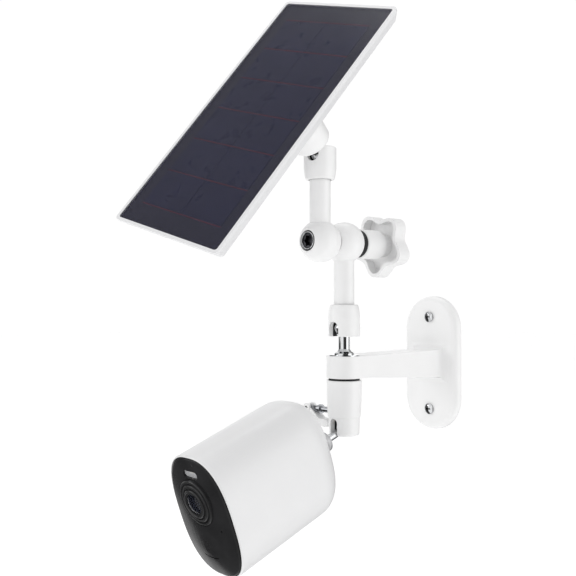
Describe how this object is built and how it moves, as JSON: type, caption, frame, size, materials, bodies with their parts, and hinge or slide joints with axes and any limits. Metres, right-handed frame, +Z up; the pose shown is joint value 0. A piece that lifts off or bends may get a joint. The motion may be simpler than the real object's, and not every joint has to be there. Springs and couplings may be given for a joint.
{
  "type": "solar-powered security camera",
  "caption": "Battery security camera on a ball-jointed wall bracket, with a tilting solar panel on a hinged pole clamped by a star knob",
  "frame": {"origin": "centre of the flat back face of the wall plate", "axes": "+Y into the wall, -Y out into the open towards the camera and panel, +Z up, +X to the right of someone facing the wall"},
  "size_m": [0.1484, 0.2811, 0.4404],
  "materials": {
    "white_paint": "smooth white powder coat",
    "chrome": "bright plated steel",
    "dark_chrome": "dark plated steel",
    "black_steel": "dark blackened steel",
    "steel": "plain steel, turned or knurled",
    "brass": "plain machined brass",
    "rubber": "matt black rubber",
    "nylon": "natural nylon",
    "white_shell": "fine satin white plastic",
    "white_knob": "satin white moulded plastic",
    "grey_button": "soft light grey plastic",
    "black_gloss": "piano black face",
    "black_satin": "satin black plastic",
    "lens_glass": "coated lens glass",
    "clear_window": "clear window with frosted back",
    "board_green": "solder-masked circuit board",
    "led_board": "white board with warm LEDs",
    "battery_wrap": "dark grey pack casing",
    "white_tray": "satin white moulded tray",
    "backsheet": "dark grey backing sheet",
    "cell_silicon": "dark navy silicon",
    "ribbon": "dull red gap line",
    "cover_glass": "clear cover glass"
  },
  "bodies": {
    "bracket": {"wall_bracket": "white_paint", "wall_screws": "chrome", "arm_washer": "chrome"},
    "lower_stud": {"lower_ball_stud": "chrome", "retaining_washer": "steel", "lock_nut": "steel"},
    "lower_socket": {"lower_cup": "white_paint", "lower_ball_seat": "nylon"},
    "lower_arm": {"lower_tube": "white_paint", "knob_washer": "rubber"},
    "upper_arm": {"upper_tube": "white_paint", "friction_disc": "rubber", "elbow_bolt": "black_steel"},
    "knob": {"star_knob": "white_knob", "knob_insert": "brass"},
    "upper_socket": {"upper_cup": "white_paint", "upper_ball_seat": "nylon"},
    "panel_stud": {"panel_ball_stud": "chrome"},
    "panel": {"panel_hub": "white_paint", "hub_screws": "chrome", "panel_tray": "white_tray", "panel_backsheet": "backsheet", "solar_cells": "cell_silicon", "cell_ribbons": "ribbon", "panel_glass": "cover_glass", "cable_gland": "rubber", "charge_board": "board_green"},
    "collar": {"thrust_washer": "rubber", "collar_body": "white_paint", "collar_cap": "white_paint", "clamp_plunger": "brass"},
    "clamp": {"clamp_screw": "dark_chrome", "clamp_flange": "dark_chrome", "lever_pin": "chrome"},
    "lever": {"clamp_lever": "white_paint"},
    "camera_stud": {"camera_ball_stud": "chrome", "stud_lock_disc": "steel"},
    "camera": {"camera_housing": "white_shell", "mount_insert": "steel", "charge_contacts": "black_satin", "button_spring": "steel"},
    "camera_core": {"core_frame": "black_satin", "front_bezel": "black_gloss", "face_gasket": "rubber", "lens_ring": "black_satin", "lens_barrel": "black_satin", "lens_glass": "lens_glass", "sensor_board": "board_green", "spotlight_window": "clear_window", "spotlight_board": "led_board", "pir_sensor": "steel", "microphone": "steel", "speaker": "black_satin", "main_board": "board_green", "battery_pack": "battery_wrap"},
    "button": {"release_button": "grey_button"}
  },
  "joints": [
    {"name": "lower_stud_turn", "type": "hinge", "parent": "bracket", "child": "lower_stud", "pos_m": [0, -0.115, 0.0328], "axis": [0, 0, 1], "range_deg": [-160, 160]},
    {"name": "lower_ball_lean", "type": "hinge", "parent": "lower_stud", "child": "lower_socket", "pos_m": [0, -0.115, 0.0328], "axis": [1, 0, 0], "range_deg": [-10, 42]},
    {"name": "pole_turn", "type": "hinge", "parent": "lower_socket", "child": "lower_arm", "pos_m": [0, -0.115, 0.0328], "axis": [0, 0, 1], "range_deg": [-160, 160]},
    {"name": "elbow_swing", "type": "hinge", "parent": "lower_arm", "child": "upper_arm", "pos_m": [0, -0.115, 0.0995], "axis": [0, 1, 0], "range_deg": [-90, 90]},
    {"name": "knob_turn", "type": "hinge", "parent": "upper_arm", "child": "knob", "pos_m": [0, -0.07, 0.0995], "axis": [0, 1, 0], "continuous": true},
    {"name": "upper_cup_turn", "type": "hinge", "parent": "upper_arm", "child": "upper_socket", "pos_m": [0, -0.1412, 0.1645], "axis": [0, 0, -1], "range_deg": [-110, 110]},
    {"name": "panel_tilt", "type": "hinge", "parent": "upper_socket", "child": "panel_stud", "pos_m": [0, -0.1412, 0.1645], "axis": [0.9542, 0.299, 0], "range_deg": [-55, 30]},
    {"name": "panel_spin", "type": "hinge", "parent": "panel_stud", "child": "panel", "pos_m": [0, -0.1412, 0.1645], "axis": [0.2508, -0.8003, 0.5446], "continuous": true},
    {"name": "collar_turn", "type": "hinge", "parent": "bracket", "child": "collar", "pos_m": [0, -0.115, -0.02], "axis": [0, 0, 1], "range_deg": [-135, 135]},
    {"name": "clamp_screw_turn", "type": "hinge", "parent": "collar", "child": "clamp", "pos_m": [-0.028, -0.115, -0.0332], "axis": [1, 0, 0], "continuous": true},
    {"name": "clamp_lever_fold", "type": "hinge", "parent": "clamp", "child": "lever", "pos_m": [-0.0388, -0.115, -0.0332], "axis": [0, 1, 0], "range_deg": [0, 105]},
    {"name": "camera_tilt", "type": "hinge", "parent": "collar", "child": "camera_stud", "pos_m": [0, -0.115, -0.0458], "axis": [1, 0, 0], "range_deg": [-25, 65]},
    {"name": "camera_roll", "type": "hinge", "parent": "camera_stud", "child": "camera", "pos_m": [0, -0.115, -0.0458], "axis": [0, -0.9409, -0.3387], "continuous": true},
    {"name": "core_slide", "type": "slide", "parent": "camera", "child": "camera_core", "axis": [0, -0.9409, -0.3387], "range_m": [0, 0.07]},
    {"name": "button_press", "type": "slide", "parent": "camera", "child": "button", "axis": [0, -0.3387, 0.9409], "range_m": [0, 0.002], "stiffness_N_per_m": 600, "springref_m": -0.001}
  ]
}
